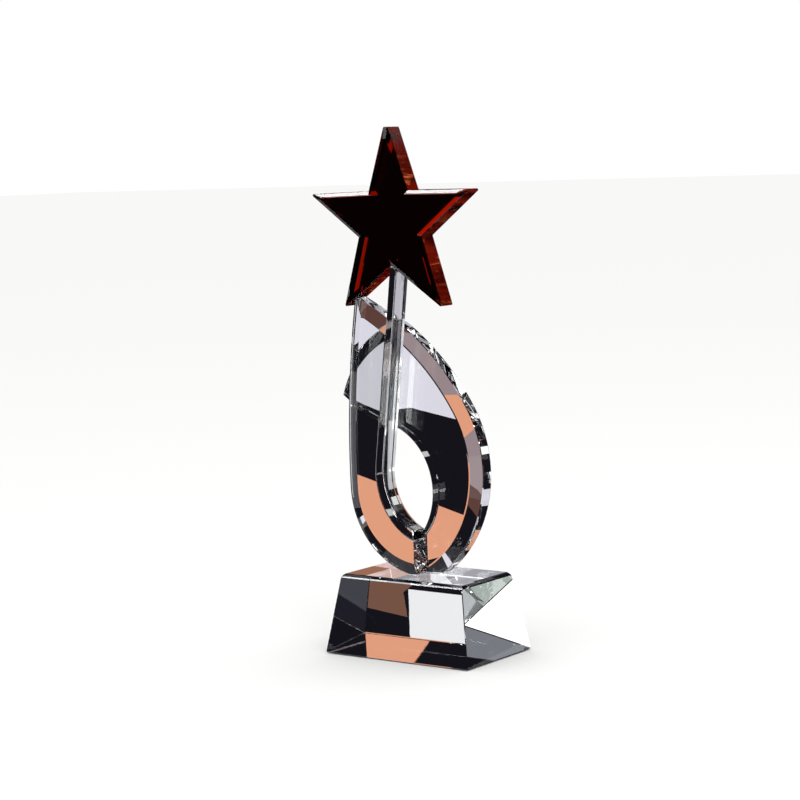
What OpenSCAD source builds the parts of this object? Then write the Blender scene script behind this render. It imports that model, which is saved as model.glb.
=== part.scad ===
// Star trophy: a crystal star on a slim stem, held between two curved crystal wings on a crystal base.
// Millimetres, +Z up, +X to the right seen from the front. The origin is the middle of the base's underside.

/* [Base] */
// Width of the base at its underside
base_w = 86; // [80:1:100]
// Depth of the base at its underside
base_d = 55; // [50:1:65]
// Height of the base
base_h = 39; // [39:0.5:41]
// How far each side leans in over the height
base_lean = 6.5; // [3:0.5:9]
// Chamfer round the top face
base_chamfer = 1.5; // [0.5:0.25:2.5]

/* [Crystal plates] */
// Thickness of each wing and of the stem
plate_t = 10; // [8:0.5:12]
// Width of the ground bevel along a wing's outer edge
bevel_w = 6.5; // [3:0.5:7]
// Depth of that bevel
bevel_d = 2.5; // [1:0.25:3]
// Small chamfer along the other edges
edge_chamfer = 0.7; // [0.3:0.1:1]
// Thickness of the cured adhesive in each joint
bond_t = 0.15; // [0.1:0.05:0.3]

/* [Stem] */
// Width of the stem, seen from the front
stem_w = 4.4; // [4:0.2:6]
// Lean of the stem to the right, in degrees
stem_lean = 7.3; // [7:0.1:7.6]

/* [Star] */
// Height of the star's centre above the surface
star_z = 211.2; // [211:0.1:212]
// Distance from the star's centre to its tips, before they are ground flat
star_r = 50.6; // [48:0.2:51]
// Distance from the star's centre to its inner corners
star_notch_r = 20; // [19:0.1:20.2]
// Turn of the star, in degrees
star_turn = 0.5; // [0:0.1:1]
// Thickness of the star
star_t = 11.5; // [10:0.5:13]
// Width of the star's edge bevel
star_bevel_w = 2; // [1:0.2:3]
// Depth of the star's edge bevel
star_bevel_d = 1; // [0.6:0.1:2]
// Width of the small flat on each tip
star_tip_flat = 1; // [0.4:0.1:1.6]
// Width of the flat on the top tip
star_top_flat = 2.6; // [1:0.1:3]

/* [Hidden] */
$fn = 360;
reach = 300;                     // longer than any part, for cutting blocks

// Depths: the left wing, the stem and the star share the front layer, the right wing is the rear one
front_y = -plate_t;
rear_y = bond_t;
foot_z = base_h + bond_t;        // underside of both wings

// Left wing, as circles in the front view: [x, z] of a centre, and a radius
left_low_c = [4, 81.5];
left_low_r = 43.2;
left_high_r = 490;
left_split = 181.2;              // direction from the low centre to where the two arcs meet
left_high_c = left_low_c - (left_high_r - left_low_r) * [cos(left_split), sin(left_split)];
arch_c = [-105, 22];
arch_r = 170.5;
seam_x = 0.5;                    // right end of the left wing and the stem, at the foot

// Stem: a straight bar that runs into an arc along the left side of the opening
stem_turn = [-16.4, 92];         // where the stem's right edge turns from straight to curved
stem_arc_r = 30;
stem_arc_c = stem_turn + stem_arc_r * [cos(stem_lean), -sin(stem_lean)];
stem_end_r = stem_arc_r + stem_w;            // left edge of the stem
left_edge_r = stem_end_r + bond_t;           // right edge of the left wing

// Right wing
right_low_c = [-27.9, 89.7];
right_low_r = 62.5;
right_high_r = 127.6;
right_split = 31.4;
right_high_c = right_low_c - (right_high_r - right_low_r) * [cos(right_split), sin(right_split)];
dome_c = [5, 108];
dome_r = 57.5;
opening_c = [-28, 79.6];
opening_r = 33.5;
tail_rise = 22.8;                // slope of the straight underside that runs to the left tip
right_foot_x = -3;               // left end of the right wing's foot

// Star
star_x = -7.7;
star_y = front_y + plate_t / 2;
star_step = [star_r - star_notch_r * cos(36), star_notch_r * sin(36)];    // from an inner corner to a tip
star_edge = star_r * star_notch_r * sin(36) / norm(star_step);             // from the centre to each edge
glue_scale = (star_edge + bond_t) / star_edge;

// A disc that stands upright, with a bevel on its front rim and a chamfer on its back rim
module upright_disc(c, r, front_w, front_d, back_w, t) {
    translate([c[0], 0, c[1]]) rotate([-90, 0, 0]) rotate_extrude()
        polygon([[0, 0], [r - front_w, 0], [r, front_d], [r, t - back_w], [r - back_w, t], [0, t]]);
}

// A plain upright hole
module upright_hole(c, r, t) {
    translate([c[0], -1, c[1]]) rotate([-90, 0, 0]) cylinder(h = t + 2, r = r);
}

// Everything on one side of a line through c: the left side of direction angle a, or the right side
module half(c, a, left, t) {
    translate([c[0], -1, c[1]]) rotate([0, -a, 0])
        translate([-reach * 2, 0, left ? 0 : -reach * 2]) cube([reach * 4, t + 2, reach * 2]);
}

// The region to the right of the stem's edge, where the edge's arc has radius r
module right_of_stem(r, t) {
    upright_hole(stem_arc_c, r, t);
    translate([stem_arc_c[0], -1, stem_arc_c[1]]) rotate([0, stem_lean, 0])
        translate([-r, 0, 0]) cube([reach, t + 2, reach]);
}

// The outline of the left wing with the stem's side still filled in
module left_blank(front_w, front_d, back_w, t) {
    intersection() {
        union() {
            intersection() {
                upright_disc(left_low_c, left_low_r, front_w, front_d, back_w, t);
                half(left_low_c, left_split, true, t);
            }
            intersection() {
                upright_disc(left_high_c, left_high_r, front_w, front_d, back_w, t);
                half(left_low_c, left_split, false, t);
            }
        }
        upright_disc(arch_c, arch_r, front_w, front_d, back_w, t);
        translate([seam_x - reach, -1, foot_z]) cube([reach, t + 2, reach]);
    }
}

module left_shape(front_w, front_d, back_w, t) {
    difference() {
        left_blank(front_w, front_d, back_w, t);
        right_of_stem(left_edge_r, t);
    }
}

// The stem, run on up to the height of the star's centre, where the star's outline later cuts it to a point
module stem_shape(t) {
    low_z = stem_arc_c[1] - reach;
    difference() {
        intersection() {
            right_of_stem(stem_end_r, t);
            translate([-reach, 0, low_z]) cube([reach + seam_x, t, star_z - low_z]);
        }
        right_of_stem(stem_arc_r, t);
    }
}

// The region left of and below the right wing's inner edge, as one outline pushed through the plate
module right_inside(t) {
    translate([0, -1, 0]) mirror([0, 1, 0]) rotate([90, 0, 0]) linear_extrude(t + 2) {
        translate(opening_c) circle(opening_r);
        translate(opening_c) rotate(-tail_rise) translate([-reach, -reach]) square([reach, reach + opening_r]);
        translate([right_foot_x - reach, -1]) square([reach, opening_c[1] + 1]);
    }
}

module right_shape(front_w, front_d, back_w, t) {
    difference() {
        union() {
            intersection() {
                upright_disc(right_low_c, right_low_r, front_w, front_d, back_w, t);
                half(right_low_c, right_split, false, t);
            }
            intersection() {
                upright_disc(right_high_c, right_high_r, front_w, front_d, back_w, t);
                half(right_low_c, right_split, true, t);
                upright_disc(dome_c, dome_r, front_w, front_d, back_w, t);
            }
        }
        right_inside(t);
        translate([-reach, -1, foot_z - reach]) cube([reach * 2, t + 2, reach]);
    }
}

// The star's outline, with a small flat on each tip
module star_outline() {
    function flat_w(k) = k == 0 ? star_top_flat : star_tip_flat;
    function flat_r(k) = star_r - flat_w(k) / 2 * star_step[0] / star_step[1];
    function turned(a, v) = [v[0] * cos(a) - v[1] * sin(a), v[0] * sin(a) + v[1] * cos(a)];
    polygon([for (k = [0:4]) let (a = 90 + star_turn + 72 * k)
        each [turned(a, [flat_r(k), -flat_w(k) / 2]), turned(a, [flat_r(k), flat_w(k) / 2]),
              turned(a + 36, [star_notch_r, 0])]]);
}

// A plain star prism, grown by a scale about the star's centre
module star_prism(grow, t) {
    translate([star_x, star_y + t / 2, star_z]) rotate([90, 0, 0]) linear_extrude(t)
        scale([grow, grow]) star_outline();
}

module base_block() {
    side = base_lean * (base_h - base_chamfer) / base_h;
    top = side + base_chamfer;
    color([0.88, 0.9, 0.92, 0.6]) intersection() {
        translate([0, base_d / 2, 0]) rotate([90, 0, 0]) linear_extrude(base_d)
            polygon([[-base_w / 2, 0], [base_w / 2, 0], [base_w / 2 - side, base_h - base_chamfer],
                     [base_w / 2 - top, base_h], [top - base_w / 2, base_h],
                     [side - base_w / 2, base_h - base_chamfer]]);
        translate([-base_w / 2, 0, 0]) rotate([90, 0, 90]) linear_extrude(base_w)
            polygon([[-base_d / 2, 0], [base_d / 2, 0], [base_d / 2 - side, base_h - base_chamfer],
                     [base_d / 2 - top, base_h], [top - base_d / 2, base_h],
                     [side - base_d / 2, base_h - base_chamfer]]);
    }
}

module left_wing() {
    color([0.85, 0.88, 0.92, 0.6]) translate([0, front_y, 0])
        left_shape(bevel_w, bevel_d, edge_chamfer, plate_t);
}

module right_wing() {
    color([0.8, 0.84, 0.9, 0.6]) translate([0, rear_y, 0])
        right_shape(bevel_w, bevel_d, edge_chamfer, plate_t);
}

module stem() {
    color([0.75, 0.78, 0.85, 0.6]) difference() {
        translate([0, front_y, 0]) stem_shape(plate_t);
        star_prism(glue_scale, star_t + 10);
    }
}

module star() {
    shrink = (star_edge - star_bevel_w) / star_edge;
    color([0.45, 0.1, 0.03, 0.85]) translate([star_x, star_y, star_z]) rotate([90, 0, 0]) {
        translate([0, 0, star_bevel_d - star_t / 2]) linear_extrude(star_t - 2 * star_bevel_d) star_outline();
        translate([0, 0, star_t / 2 - star_bevel_d]) linear_extrude(star_bevel_d, scale = shrink) star_outline();
        mirror([0, 0, 1]) translate([0, 0, star_t / 2 - star_bevel_d])
            linear_extrude(star_bevel_d, scale = shrink) star_outline();
    }
}

// Adhesive between a wing's foot and the base
module left_foot_bond() {
    color("Gold") intersection() {
        translate([0, front_y, -bond_t]) left_shape(bevel_w, bevel_d, edge_chamfer, plate_t);
        translate([-reach, -reach, base_h]) cube([reach * 2, reach * 2, bond_t]);
    }
}

module right_foot_bond() {
    color("Gold") intersection() {
        translate([0, rear_y, -bond_t]) right_shape(bevel_w, bevel_d, edge_chamfer, plate_t);
        translate([-reach, -reach, base_h]) cube([reach * 2, reach * 2, bond_t]);
    }
}

// Adhesive between the stem and the left wing
module stem_bond() {
    color("Orange") translate([0, front_y, 0]) intersection() {
        difference() {
            right_of_stem(left_edge_r, plate_t);
            right_of_stem(stem_end_r, plate_t);
        }
        left_blank(bevel_w, bevel_d, edge_chamfer, plate_t);
    }
}

// Adhesive between the front layer and the right wing
module wing_bond() {
    color("Khaki") intersection() {
        translate([0, front_y + bond_t, 0]) union() {
            difference() {
                left_blank(bevel_w, bevel_d, edge_chamfer, plate_t);
                right_of_stem(stem_arc_r, plate_t);
            }
            stem_shape(plate_t);
        }
        right_shape(bevel_w, bevel_d, edge_chamfer, plate_t);
        translate([-reach, 0, foot_z]) cube([reach * 2, bond_t, reach]);
    }
}

// Adhesive between the stem's pointed top and the star's notch
module star_bond() {
    color("Tomato") intersection() {
        difference() {
            translate([0, front_y, 0]) stem_shape(plate_t);
            star_prism(1, star_t + 10);
        }
        star_prism(glue_scale, star_t + 10);
    }
}

base_block();
left_wing();
right_wing();
stem();
star();
left_foot_bond();
right_foot_bond();
stem_bond();
wing_bond();
star_bond();
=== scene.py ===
import math

import bpy
from mathutils import Matrix, Vector


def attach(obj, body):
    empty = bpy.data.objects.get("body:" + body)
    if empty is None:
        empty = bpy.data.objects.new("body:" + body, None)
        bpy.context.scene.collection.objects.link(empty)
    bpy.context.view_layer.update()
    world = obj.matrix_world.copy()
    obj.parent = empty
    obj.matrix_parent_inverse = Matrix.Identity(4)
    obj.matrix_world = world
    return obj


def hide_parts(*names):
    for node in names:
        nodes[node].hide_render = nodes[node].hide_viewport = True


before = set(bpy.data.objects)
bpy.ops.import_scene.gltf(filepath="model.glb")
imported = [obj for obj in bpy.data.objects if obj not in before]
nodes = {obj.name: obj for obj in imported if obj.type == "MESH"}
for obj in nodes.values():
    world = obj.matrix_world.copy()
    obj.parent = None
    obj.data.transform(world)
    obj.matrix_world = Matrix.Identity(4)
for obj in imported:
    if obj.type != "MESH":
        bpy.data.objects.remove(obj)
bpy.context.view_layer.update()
mm = 0.001  # the scene is in metres, the sizes below are in millimetres

weld = {
    "mergeGap": 0.002,        # mm, corners closer than this are one corner
    "flatAngle": 0.3,         # degrees, neighbouring triangles that differ by less are one face
}
sharpestBlend = 18.0          # degrees, edges that turn less than this are part of a curve and get no flat


def linear(hexColour, alpha=1.0):
    # sRGB hex to the linear values that shaders want
    parts = [int(hexColour[i:i + 2], 16) / 255 for i in (1, 3, 5)]
    return tuple(c / 12.92 if c <= 0.04045 else ((c + 0.055) / 1.055) ** 2.4 for c in parts) + (alpha,)


def addNode(material, kind, settings=None, links=None):
    # one node, its sockets or properties set by name, and its inputs linked from (node, output) pairs
    node = material.node_tree.nodes.new(kind)
    for name, value in (settings or {}).items():
        if name in node.inputs:
            node.inputs[name].default_value = value
        else:
            setattr(node, name, value)
    for name, (source, output) in (links or {}).items():
        material.node_tree.links.new(source.outputs[output], node.inputs[name])
    return node


def newMaterial(name):
    material = bpy.data.materials.new(name)
    material.use_nodes = True
    material.node_tree.nodes.clear()
    return material


def deselectAll():
    bpy.ops.object.select_all(action="DESELECT")


def makeActive(piece):
    deselectAll()
    piece.select_set(True)
    bpy.context.view_layer.objects.active = piece


def paint(piece, material):
    piece.data.materials.clear()
    piece.data.materials.append(material)


def freshCopy(nodeName, name):
    # an unshared copy of a CAD node, with its loose triangles merged into whole flat faces
    piece = nodes[nodeName].copy()
    piece.data = nodes[nodeName].data.copy()
    piece.name = name
    for key in list(piece.keys()):
        del piece[key]
    bpy.context.scene.collection.objects.link(piece)
    piece.parent = None
    piece.matrix_world = Matrix.Identity(4)
    makeActive(piece)
    if piece.data.has_custom_normals:
        bpy.ops.mesh.customdata_custom_splitnormals_clear()
    bpy.ops.object.mode_set(mode="EDIT")
    bpy.ops.mesh.select_all(action="SELECT")
    bpy.ops.mesh.remove_doubles(threshold=weld["mergeGap"] * mm)
    bpy.ops.mesh.dissolve_limited(angle_limit=math.radians(weld["flatAngle"]))
    bpy.ops.mesh.normals_make_consistent(inside=False)
    bpy.ops.object.mode_set(mode="OBJECT")
    return piece


def polishEdges(piece, sizes):
    # the tiny flat that a polisher leaves on every edge so that it doesn't chip
    makeActive(piece)
    bevel = piece.modifiers.new("polishedEdge", "BEVEL")
    bevel.width = sizes["edge"] * mm
    bevel.segments = 1
    bevel.limit_method = "ANGLE"
    bevel.angle_limit = math.radians(sharpestBlend)
    bevel.use_clamp_overlap = True
    bevel.miter_outer = "MITER_SHARP"
    bpy.ops.object.modifier_apply(modifier=bevel.name)
    bpy.ops.object.shade_smooth_by_angle(angle=math.radians(sizes["smoothAngle"]))


def finishPiece(piece, nodeName, material):
    paint(piece, material)
    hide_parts(nodeName)
    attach(piece, "root")
    print("made", piece.name, len(piece.data.polygons), "faces")


crystalFinish = {
    "colour": "#fbfdfd",      # optical crystal is nearly colourless
    "ior": 1.517,
    "roughness": 0.0,
    "scratchSize": 3.5,       # mm between marks, drawn much coarser than real hairlines so that they show
    "scratchStretch": 0.12,   # the marks run upwards
    "scratchDepth": 0.001,    # mm, on the broad flats
    "stemDepth": 0.012,       # mm, on the slim stem
}
amberFinish = {
    "colour": "#ffffff",
    "absorption": (110.0, 420.0, 900.0),  # per metre of glass, for red, green and blue
    "densityMargin": 1.02,
    "ior": 1.52,
    "roughness": 0.0,
    "wallRoughness": 0.08,
    # The streak and glint sizes and ranges and the two wall colours below draw a painted glow and painted
    # glints on the star's side walls
    "streakSize": 6.0,        # mm
    "streakStretch": 0.15,    # the streaks run across the wall's thickness
    "streakTurn": (0.5, 0.3, 0.9),  # radians, changes the pattern but not the streaks' direction
    "streakRange": (0.38, 0.72),    # the noise values between which a streak fades in
    "streakShare": (0.1, 0.85),     # how much of the wall glows, between the streaks and in them
    "glintSize": 4.0,         # mm
    "glintRange": (0.56, 0.66),
    "paintedGlowDark": "#7a1304",
    "paintedGlowLight": "#ff8a48",
}


def polishedCrystal(name, scratchDepth):
    # optical crystal, ground flat and polished: clear, sharp edged, with faint hairlines on the flats
    material = newMaterial(name)
    place = addNode(material, "ShaderNodeTexCoord")
    grain = addNode(material, "ShaderNodeMapping", {"Scale": (1.0, 1.0, crystalFinish["scratchStretch"])},
                    {"Vector": (place, "Object")})
    marks = addNode(material, "ShaderNodeTexNoise", {"Scale": 1 / (crystalFinish["scratchSize"] * mm),
                    "Detail": 4.0, "Roughness": 0.6}, {"Vector": (grain, "Vector")})
    bump = addNode(material, "ShaderNodeBump", {"Strength": 1.0, "Distance": scratchDepth * mm},
                   {"Height": (marks, "Fac")})
    glass = addNode(material, "ShaderNodeBsdfPrincipled", {"Base Color": linear(crystalFinish["colour"]),
                    "IOR": crystalFinish["ior"], "Roughness": crystalFinish["roughness"],
                    "Transmission Weight": 1.0}, {"Normal": (bump, "Normal")})
    addNode(material, "ShaderNodeOutputMaterial", {}, {"Surface": (glass, "BSDF")})
    return material


def meltColour(material):
    # absorption for each colour; the density is just over the largest, so every colour value stays above 0
    density = max(amberFinish["absorption"]) * amberFinish["densityMargin"]
    colour = tuple(1 - k / density for k in amberFinish["absorption"]) + (1.0,)
    return addNode(material, "ShaderNodeVolumeAbsorption", {"Color": colour, "Density": density})


def amberCrystal(name):
    # crystal coloured in the melt: the colour lies in the depth of the glass,
    # so thin corners glow and the middle is dark
    material = newMaterial(name)
    glass = addNode(material, "ShaderNodeBsdfPrincipled", {"Base Color": linear(amberFinish["colour"]),
                    "IOR": amberFinish["ior"], "Roughness": amberFinish["roughness"],
                    "Transmission Weight": 1.0})
    depth = meltColour(material)
    addNode(material, "ShaderNodeOutputMaterial", {},
            {"Surface": (glass, "BSDF"), "Volume": (depth, "Volume")})
    return material


def roughAmberPaintedGlow(name):
    # the star's side walls: slightly rough glass mixed with a diffuse painted glow in streaks and painted
    # glints, which stand in for light trapped in the glass
    material = newMaterial(name)
    place = addNode(material, "ShaderNodeTexCoord")
    strokes = addNode(material, "ShaderNodeMapping", {"Scale": (1.0, amberFinish["streakStretch"], 1.0),
                      "Rotation": amberFinish["streakTurn"]}, {"Vector": (place, "Object")})
    streaks = addNode(material, "ShaderNodeTexNoise", {"Scale": 1000 / amberFinish["streakSize"],
                      "Detail": 5.0, "Roughness": 0.65, "Distortion": 0.6}, {"Vector": (strokes, "Vector")})
    (fadeStart, fadeEnd), (least, most) = amberFinish["streakRange"], amberFinish["streakShare"]
    share = addNode(material, "ShaderNodeMapRange", {"From Min": fadeStart, "From Max": fadeEnd,
                    "To Min": least, "To Max": most}, {"Value": (streaks, "Fac")})
    # painted glints: small specks of painted highlight within the painted glow
    glints = addNode(material, "ShaderNodeTexNoise", {"Scale": 1000 / amberFinish["glintSize"], "Detail": 6.0,
                     "Roughness": 0.7, "Distortion": 1.5}, {"Vector": (strokes, "Vector")})
    glintStart, glintEnd = amberFinish["glintRange"]
    bright = addNode(material, "ShaderNodeMapRange", {"From Min": glintStart, "From Max": glintEnd},
                     {"Value": (glints, "Fac")})
    # the painted glow's colour: dark red, turning bright orange in the painted glints
    paintedGlowTint = addNode(material, "ShaderNodeMixRGB", {"Color1": linear(amberFinish["paintedGlowDark"]),
                   "Color2": linear(amberFinish["paintedGlowLight"])}, {"Fac": (bright, "Result")})
    glow = addNode(material, "ShaderNodeBsdfDiffuse", {}, {"Color": (paintedGlowTint, "Color")})
    glass = addNode(material, "ShaderNodeBsdfPrincipled", {"Base Color": linear(amberFinish["colour"]),
                    "IOR": amberFinish["ior"], "Roughness": amberFinish["wallRoughness"],
                    "Transmission Weight": 1.0})
    # the slightly rough glass mixed with the painted glow
    mixed = addNode(material, "ShaderNodeMixShader", {}, {"Fac": (share, "Result")})
    material.node_tree.links.new(glass.outputs["BSDF"], mixed.inputs[1])
    material.node_tree.links.new(glow.outputs["BSDF"], mixed.inputs[2])
    depth = meltColour(material)
    addNode(material, "ShaderNodeOutputMaterial", {},
            {"Surface": (mixed, "Shader"), "Volume": (depth, "Volume")})
    return material


def curedAdhesive(name):
    # UV-cured adhesive matched to the glass: next to invisible
    material = newMaterial(name)
    clear = addNode(material, "ShaderNodeBsdfTransparent", {"Color": linear("#fbfbfa")})
    shine = addNode(material, "ShaderNodeBsdfGlossy", {"Color": linear("#ffffff"), "Roughness": 0.2})
    mixed = addNode(material, "ShaderNodeMixShader", {"Fac": 0.02})
    material.node_tree.links.new(clear.outputs["BSDF"], mixed.inputs[1])
    material.node_tree.links.new(shine.outputs["BSDF"], mixed.inputs[2])
    addNode(material, "ShaderNodeOutputMaterial", {}, {"Surface": (mixed, "Shader")})
    return material


def studioCard(name, hexColour, strength):
    material = newMaterial(name)
    glow = addNode(material, "ShaderNodeEmission", {"Color": linear(hexColour), "Strength": strength})
    addNode(material, "ShaderNodeOutputMaterial", {}, {"Surface": (glow, "Emission")})
    return material


crystal = polishedCrystal("polishedClearCrystal", crystalFinish["scratchDepth"])
stemCrystal = polishedCrystal("finelyScratchedCrystal", crystalFinish["stemDepth"])
amber = amberCrystal("darkAmberCrystal")
amberWallPaintedGlow = roughAmberPaintedGlow("amberWallWithPaintedGlow")
adhesive = curedAdhesive("clearCuredAdhesive")
print("materials ready")

# For each piece of crystal: the polisher's flat in mm, and the angle in degrees up to which
# faces shade as one curve
baseSizes = {"edge": 0.35, "smoothAngle": 4.0}
base = freshCopy("base_block", "crystal_base")
polishEdges(base, baseSizes)
finishPiece(base, "base_block", crystal)

leftWingSizes = {"edge": 0.35, "smoothAngle": 7.0}
leftWing = freshCopy("left_wing", "crystal_left_wing")
polishEdges(leftWing, leftWingSizes)
finishPiece(leftWing, "left_wing", crystal)

rightWingSizes = {"edge": 0.35, "smoothAngle": 7.0}
rightWing = freshCopy("right_wing", "crystal_right_wing")
polishEdges(rightWing, rightWingSizes)
finishPiece(rightWing, "right_wing", crystal)

stemSizes = {"edge": 0.45, "smoothAngle": 7.0}
stem = freshCopy("stem", "crystal_stem")
polishEdges(stem, stemSizes)
finishPiece(stem, "stem", stemCrystal)

starSizes = {"edge": 0.25, "smoothAngle": 4.0, "wallNormal": 0.3}  # below wallNormal a face is a side wall
star = freshCopy("star", "amber_star")
polishEdges(star, starSizes)
finishPiece(star, "star", amber)
# the side walls get the rough glass with the painted glow and painted glints
star.data.materials.append(amberWallPaintedGlow)
for face in star.data.polygons:
    if abs(face.normal.y) < starSizes["wallNormal"]:
        face.material_index = 1
print("crystal ready")

filmSizes = {"drawIn": 0.03}  # mm, so that a film never shares a face with the glass
for nodeName in ("left_foot_bond", "right_foot_bond", "stem_bond", "wing_bond", "star_bond"):
    film = freshCopy(nodeName, nodeName + "_film")
    shrink = film.modifiers.new("shrink", "DISPLACE")
    shrink.strength = -filmSizes["drawIn"] * mm
    shrink.mid_level = 0.0
    makeActive(film)
    bpy.ops.object.modifier_apply(modifier=shrink.name)
    finishPiece(film, nodeName, adhesive)
print("adhesive ready")

studio = {
    "floorColour": "#f8f8f7",
    "floorSize": 30.0,        # m
    "floorHeight": -0.6,      # mm
    "worldColour": "#ffffff",
    "cardHeight": -0.3,       # mm, the cards lie between the floor and the base's underside
    "tableDrop": 0.05,        # mm, the black table top lies this far below the cards
    "cardStep": 0.01,         # mm, each card lies this far above the one before it
    "wellRadius": 230.0,      # mm, inside it the glass looks past the table at the cards in the well
    "wellDepth": -300.0,      # mm
    "tableRadius": 4200.0,    # mm
    "tentRadius": 4000.0,     # mm, black drapes all round
    "drapeColour": "#15141a",
}

# Flat cards on the table: name, corners as [x, y] in mm, colour, strength. Only the glass shows them.
tableCards = (
    ("peachTable", ((-150, 100), (-150, 307.7), (-418, 489.4), (-418, 100)), "#eea684", 1.0),
    ("mauveStrip", ((-418, 320), (-418, 489.4), (-484, 534.2), (-484, 320)), "#a08e91", 1.0),
    ("brownStrip", ((-484, 320), (-484, 534.2), (-540, 572.2), (-540, 320)), "#63433c", 1.0),
    ("paleSweep", ((-500, 782), (-581, 834), (-661, 886), (-668, 852), (-729, 902), (-860, 1015),
                   (-1000, 1100), (-1750, 1500), (-1500, 1850), (-1000, 2150), (-500, 1400)), "#e6e3ee", 1.0),
    ("sweepTongue", ((-1322, 1711), (-2381, 3122), (-2345, 3148), (-1286, 1737)), "#c9c6cf", 1.0),
    ("greyByStem", ((300, 460), (420, 460), (420, 600), (300, 600)), "#958b8d", 1.0),
    ("navySide", ((-3300, -350), (-2500, -350), (-2500, 250), (-3300, 250)), "#454c5e", 1.0),
    ("whiteByStem", ((-240, -50), (-190, -50), (-190, 30), (-240, 30)), "#ffffff", 1.2),
    ("frontRightSweep", ((40, -270), (270, -40), (3200, 100), (2800, -2800), (-100, -3600)), "#e8e6ec", 1.0),
    ("leftSweep", ((-300, -70), (-300, 50), (-560, 180), (-1000, 420), (-1500, 640), (-2450, 900),
                   (-2450, -640)), "#e8e6ec", 1.0),
    ("brightRight", ((170, -340), (340, -340), (340, -520), (170, -520)), "#ffffff", 6.0),
)

# The same in the well below the table, which the base and the feet of the wings look into
wellCards = (
    ("paleWell", ((-460, -460), (460, -460), (460, 200), (-200, 330), (-460, 330)), "#cfcdd6", 1.0),
    ("charcoalLow", ((120, 300), (330, 300), (330, 368), (120, 368)), "#201f27", 1.0),
    ("charcoalHigh", ((120, 368), (330, 368), (330, 440), (120, 440)), "#47464e", 1.0),
    ("whiteQuad", ((-499, 603.8), (-443, 535), (-425, 515), (-360, 515), (-360, 632)), "#f6f5f7", 1.05),
    ("brownQuad", ((-700, 558), (-464, 558), (-499, 597), (-505, 640), (-700, 640)), "#7d5848", 1.0),
    ("paleUnder", ((-700, -640), (-400, -640), (-400, -380), (-700, -380)), "#b9c4bc", 1.0),
    ("paleUnderFront", ((-180, -330), (-80, -330), (-80, -200), (-180, -200)), "#a9b4ac", 1.0),
    ("paleTop", ((-1250, 1150), (-800, 1150), (-800, 1500), (-1250, 1500)), "#dedbe2", 1.0),
)

# Cards in the air: name, azimuth and elevation in degrees, distance, height they are aimed at,
# width, height, spin, colour, strength
airCards = (
    ("frontCard", -43, 26, 1500, 20, 520, 420, 0, "#ffffff", 1.8),
    ("starSoftbox", -50, 41, 1500, 211, 420, 230, 0, "#ffffff", 18.0),
    ("underStarCard", -28, 29, 1400, 190, 260, 260, 0, "#fff0ea", 1.3),
    ("underStarSide", -100, 36, 1400, 190, 300, 300, 0, "#fff0ea", 1.3),
    ("edgeStrip", -145, 6.2, 3800, 0, 300, 130, 0, "#ffffff", 1.3),
    ("bandCard", -141.8, 11.2, 2500, 0, 192, 262, -38, "#eea684", 1.0),
    ("topCard", -132, 21, 1200, 35, 180, 140, 0, "#ffffff", 1.5),
    ("lowFrontCard", -30, -4.5, 3600, 0, 700, 400, 0, "#83858c", 1.0),
    ("stemCard", -88, 2.2, 3800, 130, 300, 240, 0, "#ffffff", 1.0),
    ("sideSoftbox", 101, 18, 1600, 150, 500, 900, 0, "#ffffff", 3.0),
    ("leftSoftbox", -110, 32, 2200, 150, 500, 500, 0, "#ffffff", 2.0),
    ("overheadCard", -128, 78, 1500, 0, 1000, 620, 0, "#ffffff", 2.2),
    ("keyCard", 50, 68, 1500, 0, 700, 260, 0, "#ffffff", 3.0),
    ("armCard", -145.8, 0.75, 3800, 0, 150, 130, 0, "#ffffff", 2.5),
    ("frontStrip", 27, 40, 1500, 150, 900, 160, 0, "#ffffff", 2.5),
    ("backLeftStrip", 150, 30, 2000, 100, 500, 260, 0, "#ffffff", 0.6),
)


def stageObject(piece, material, cameraSees):
    paint(piece, material)
    if not cameraSees:
        piece.visible_camera = False
        piece.visible_diffuse = False
        piece.visible_shadow = False


def tableCard(name, corners, height, material):
    # a flat card lying just above the floor
    deselectAll()
    bpy.ops.mesh.primitive_circle_add(vertices=len(corners), radius=1.0, fill_type="NGON")
    piece = bpy.context.object
    piece.name = name
    for vertex, corner in zip(piece.data.vertices, corners):
        vertex.co = (corner[0] * mm, corner[1] * mm, height * mm)
    stageObject(piece, material, False)
    return piece


def drapes(name, radius, material):
    # black drapes all round, which only the glass shows
    deselectAll()
    bpy.ops.mesh.primitive_uv_sphere_add(segments=48, ring_count=24, radius=radius * mm)
    piece = bpy.context.object
    piece.name = name
    stageObject(piece, material, False)
    return piece


def tableRing(name, inner, outer, height, material):
    # the table top, with a round well in the middle
    deselectAll()
    bpy.ops.mesh.primitive_circle_add(vertices=96, radius=outer * mm, fill_type="NGON",
                                      location=(0, 0, height * mm))
    piece = bpy.context.object
    piece.name = name
    bpy.ops.object.mode_set(mode="EDIT")
    bpy.ops.mesh.select_all(action="SELECT")
    bpy.ops.mesh.inset(thickness=(outer - inner) * mm)
    bpy.ops.mesh.delete(type="FACE")
    bpy.ops.object.mode_set(mode="OBJECT")
    stageObject(piece, material, False)
    return piece


def airCard(name, azimuth, elevation, distance, aimHeight, width, height, spin, material):
    # a flat card that faces a point on the trophy's axis, sizes in mm
    deselectAll()
    bpy.ops.mesh.primitive_plane_add(size=1.0)
    piece = bpy.context.object
    piece.name = name
    turn, lift = math.radians(azimuth), math.radians(elevation)
    away = Vector((math.sin(turn) * math.cos(lift), -math.cos(turn) * math.cos(lift), math.sin(lift)))
    centre = away * distance + Vector((0, 0, aimHeight))
    facing = away.to_track_quat("Z", "Y").to_matrix().to_4x4() @ Matrix.Rotation(math.radians(spin), 4, "Z")
    scale = Matrix.Diagonal((width * mm, height * mm, 1.0, 1.0))
    piece.data.transform(Matrix.Translation(centre * mm) @ facing @ scale)
    stageObject(piece, material, False)
    return piece


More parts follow.
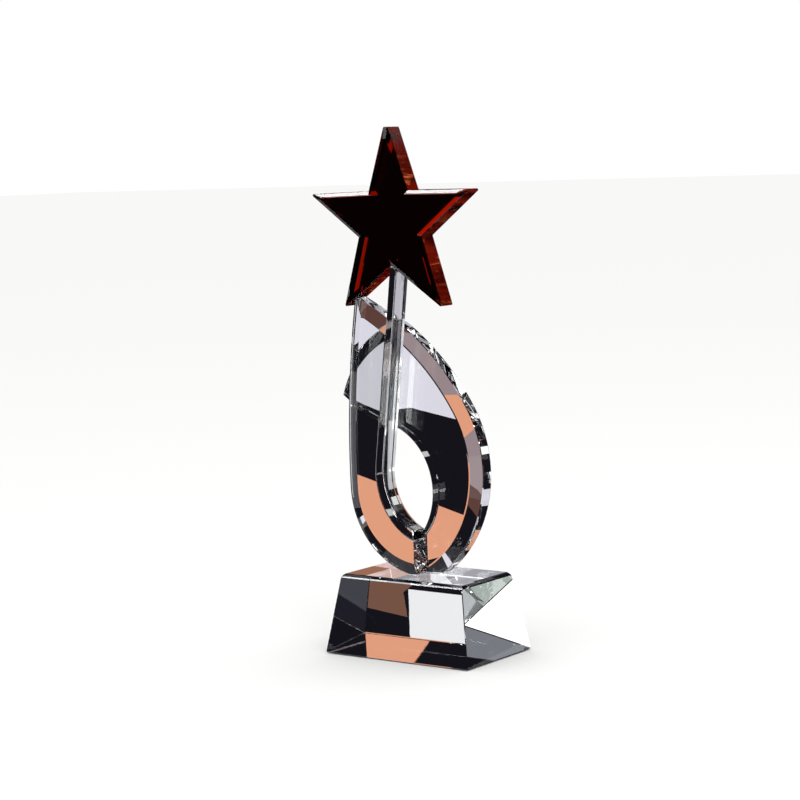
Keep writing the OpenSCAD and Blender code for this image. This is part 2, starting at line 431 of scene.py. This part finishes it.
deselectAll()
bpy.ops.mesh.primitive_plane_add(size=studio["floorSize"], location=(0, 0, studio["floorHeight"] * mm))
floor = bpy.context.object
floor.name = "floor"
floorPaint = newMaterial("paleMattFloor")
floorDiffuse = addNode(floorPaint, "ShaderNodeBsdfDiffuse", {"Color": linear(studio["floorColour"])})
addNode(floorPaint, "ShaderNodeOutputMaterial", {}, {"Surface": (floorDiffuse, "BSDF")})
stageObject(floor, floorPaint, True)
floor.visible_transmission = False
floor.visible_glossy = False

blackCard = studioCard("blackDrape", studio["drapeColour"], 1.0)
drapes("black_drapes", studio["tentRadius"], blackCard)
tableHeight = studio["cardHeight"] - studio["tableDrop"]
tableRing("black_table", studio["wellRadius"], studio["tableRadius"], tableHeight, blackCard)
for cards, lowest in ((tableCards, studio["cardHeight"]), (wellCards, studio["wellDepth"])):
    for order, (name, corners, colour, strength) in enumerate(cards):
        tableCard(name, corners, lowest + studio["cardStep"] * order, studioCard(name, colour, strength))
for name, azimuth, elevation, distance, aimHeight, width, height, spin, colour, strength in airCards:
    card = studioCard(name, colour, strength)
    airCard(name, azimuth, elevation, distance, aimHeight, width, height, spin, card)

world = bpy.data.worlds.new("studioWorld")
bpy.context.scene.world = world
world.use_nodes = True
world.node_tree.nodes["Background"].inputs["Color"].default_value = linear(studio["worldColour"])
world.node_tree.nodes["Background"].inputs["Strength"].default_value = 1.0

keyLight = {
    "place": (0.6, -0.5, 1.2),  # m
    "aim": (0, 0, 0.1),         # m
    "size": 0.8,                # m
    "power": 4.0,               # W
}
bpy.ops.object.light_add(type="AREA", location=keyLight["place"])
key = bpy.context.object
key.name = "keySoftbox"
key.data.shape = "DISK"
key.data.size = keyLight["size"]
key.data.energy = keyLight["power"]
key.visible_glossy = False
key.visible_transmission = False
key.rotation_mode = "QUATERNION"
key.rotation_quaternion = (Vector(key.location) - Vector(keyLight["aim"])).to_track_quat("Z", "Y")

print("studio ready")

# Camera: angles in degrees, places and lens in mm
view = {
    "azimuth": 36.874,
    "distance": 1115.36,
    "height": 243.95,
    "sideways": -9.70,
    "pitch": 6.086,
    "roll": -2.0,
    "lens": 103.11,
}

azimuth, pitch, roll = (math.radians(view[k]) for k in ("azimuth", "pitch", "roll"))
back = Vector((math.sin(azimuth), -math.cos(azimuth), 0))
across = Vector((math.cos(azimuth), math.sin(azimuth), 0))
up = Vector((0, 0, 1))
eye = (back * view["distance"] + across * view["sideways"] + up * view["height"]) * mm
forward = -back * math.cos(pitch) - up * math.sin(pitch)
upright = across.cross(forward)
imageRight = across * math.cos(roll) + upright * math.sin(roll)
imageUp = -across * math.sin(roll) + upright * math.cos(roll)

cameraData = bpy.data.cameras.new("studioCamera")
camera = bpy.data.objects.new("studioCamera", cameraData)
bpy.context.scene.collection.objects.link(camera)
cameraData.sensor_width = 36.0
cameraData.lens = view["lens"]
cameraData.clip_end = 50.0
camera.matrix_world = Matrix((
    (imageRight.x, imageUp.x, -forward.x, eye.x),
    (imageRight.y, imageUp.y, -forward.y, eye.y),
    (imageRight.z, imageUp.z, -forward.z, eye.z),
    (0, 0, 0, 1),
))
bpy.context.scene.camera = camera

scene = bpy.context.scene
scene.view_settings.view_transform = "Standard"
scene.cycles.max_bounces = 32
scene.cycles.transmission_bounces = 32
scene.cycles.glossy_bounces = 16
scene.cycles.transparent_max_bounces = 32
scene.cycles.caustics_reflective = False
scene.cycles.caustics_refractive = False
scene.cycles.sample_clamp_indirect = 8.0
scene.cycles.use_denoising = True

print("scene ready")
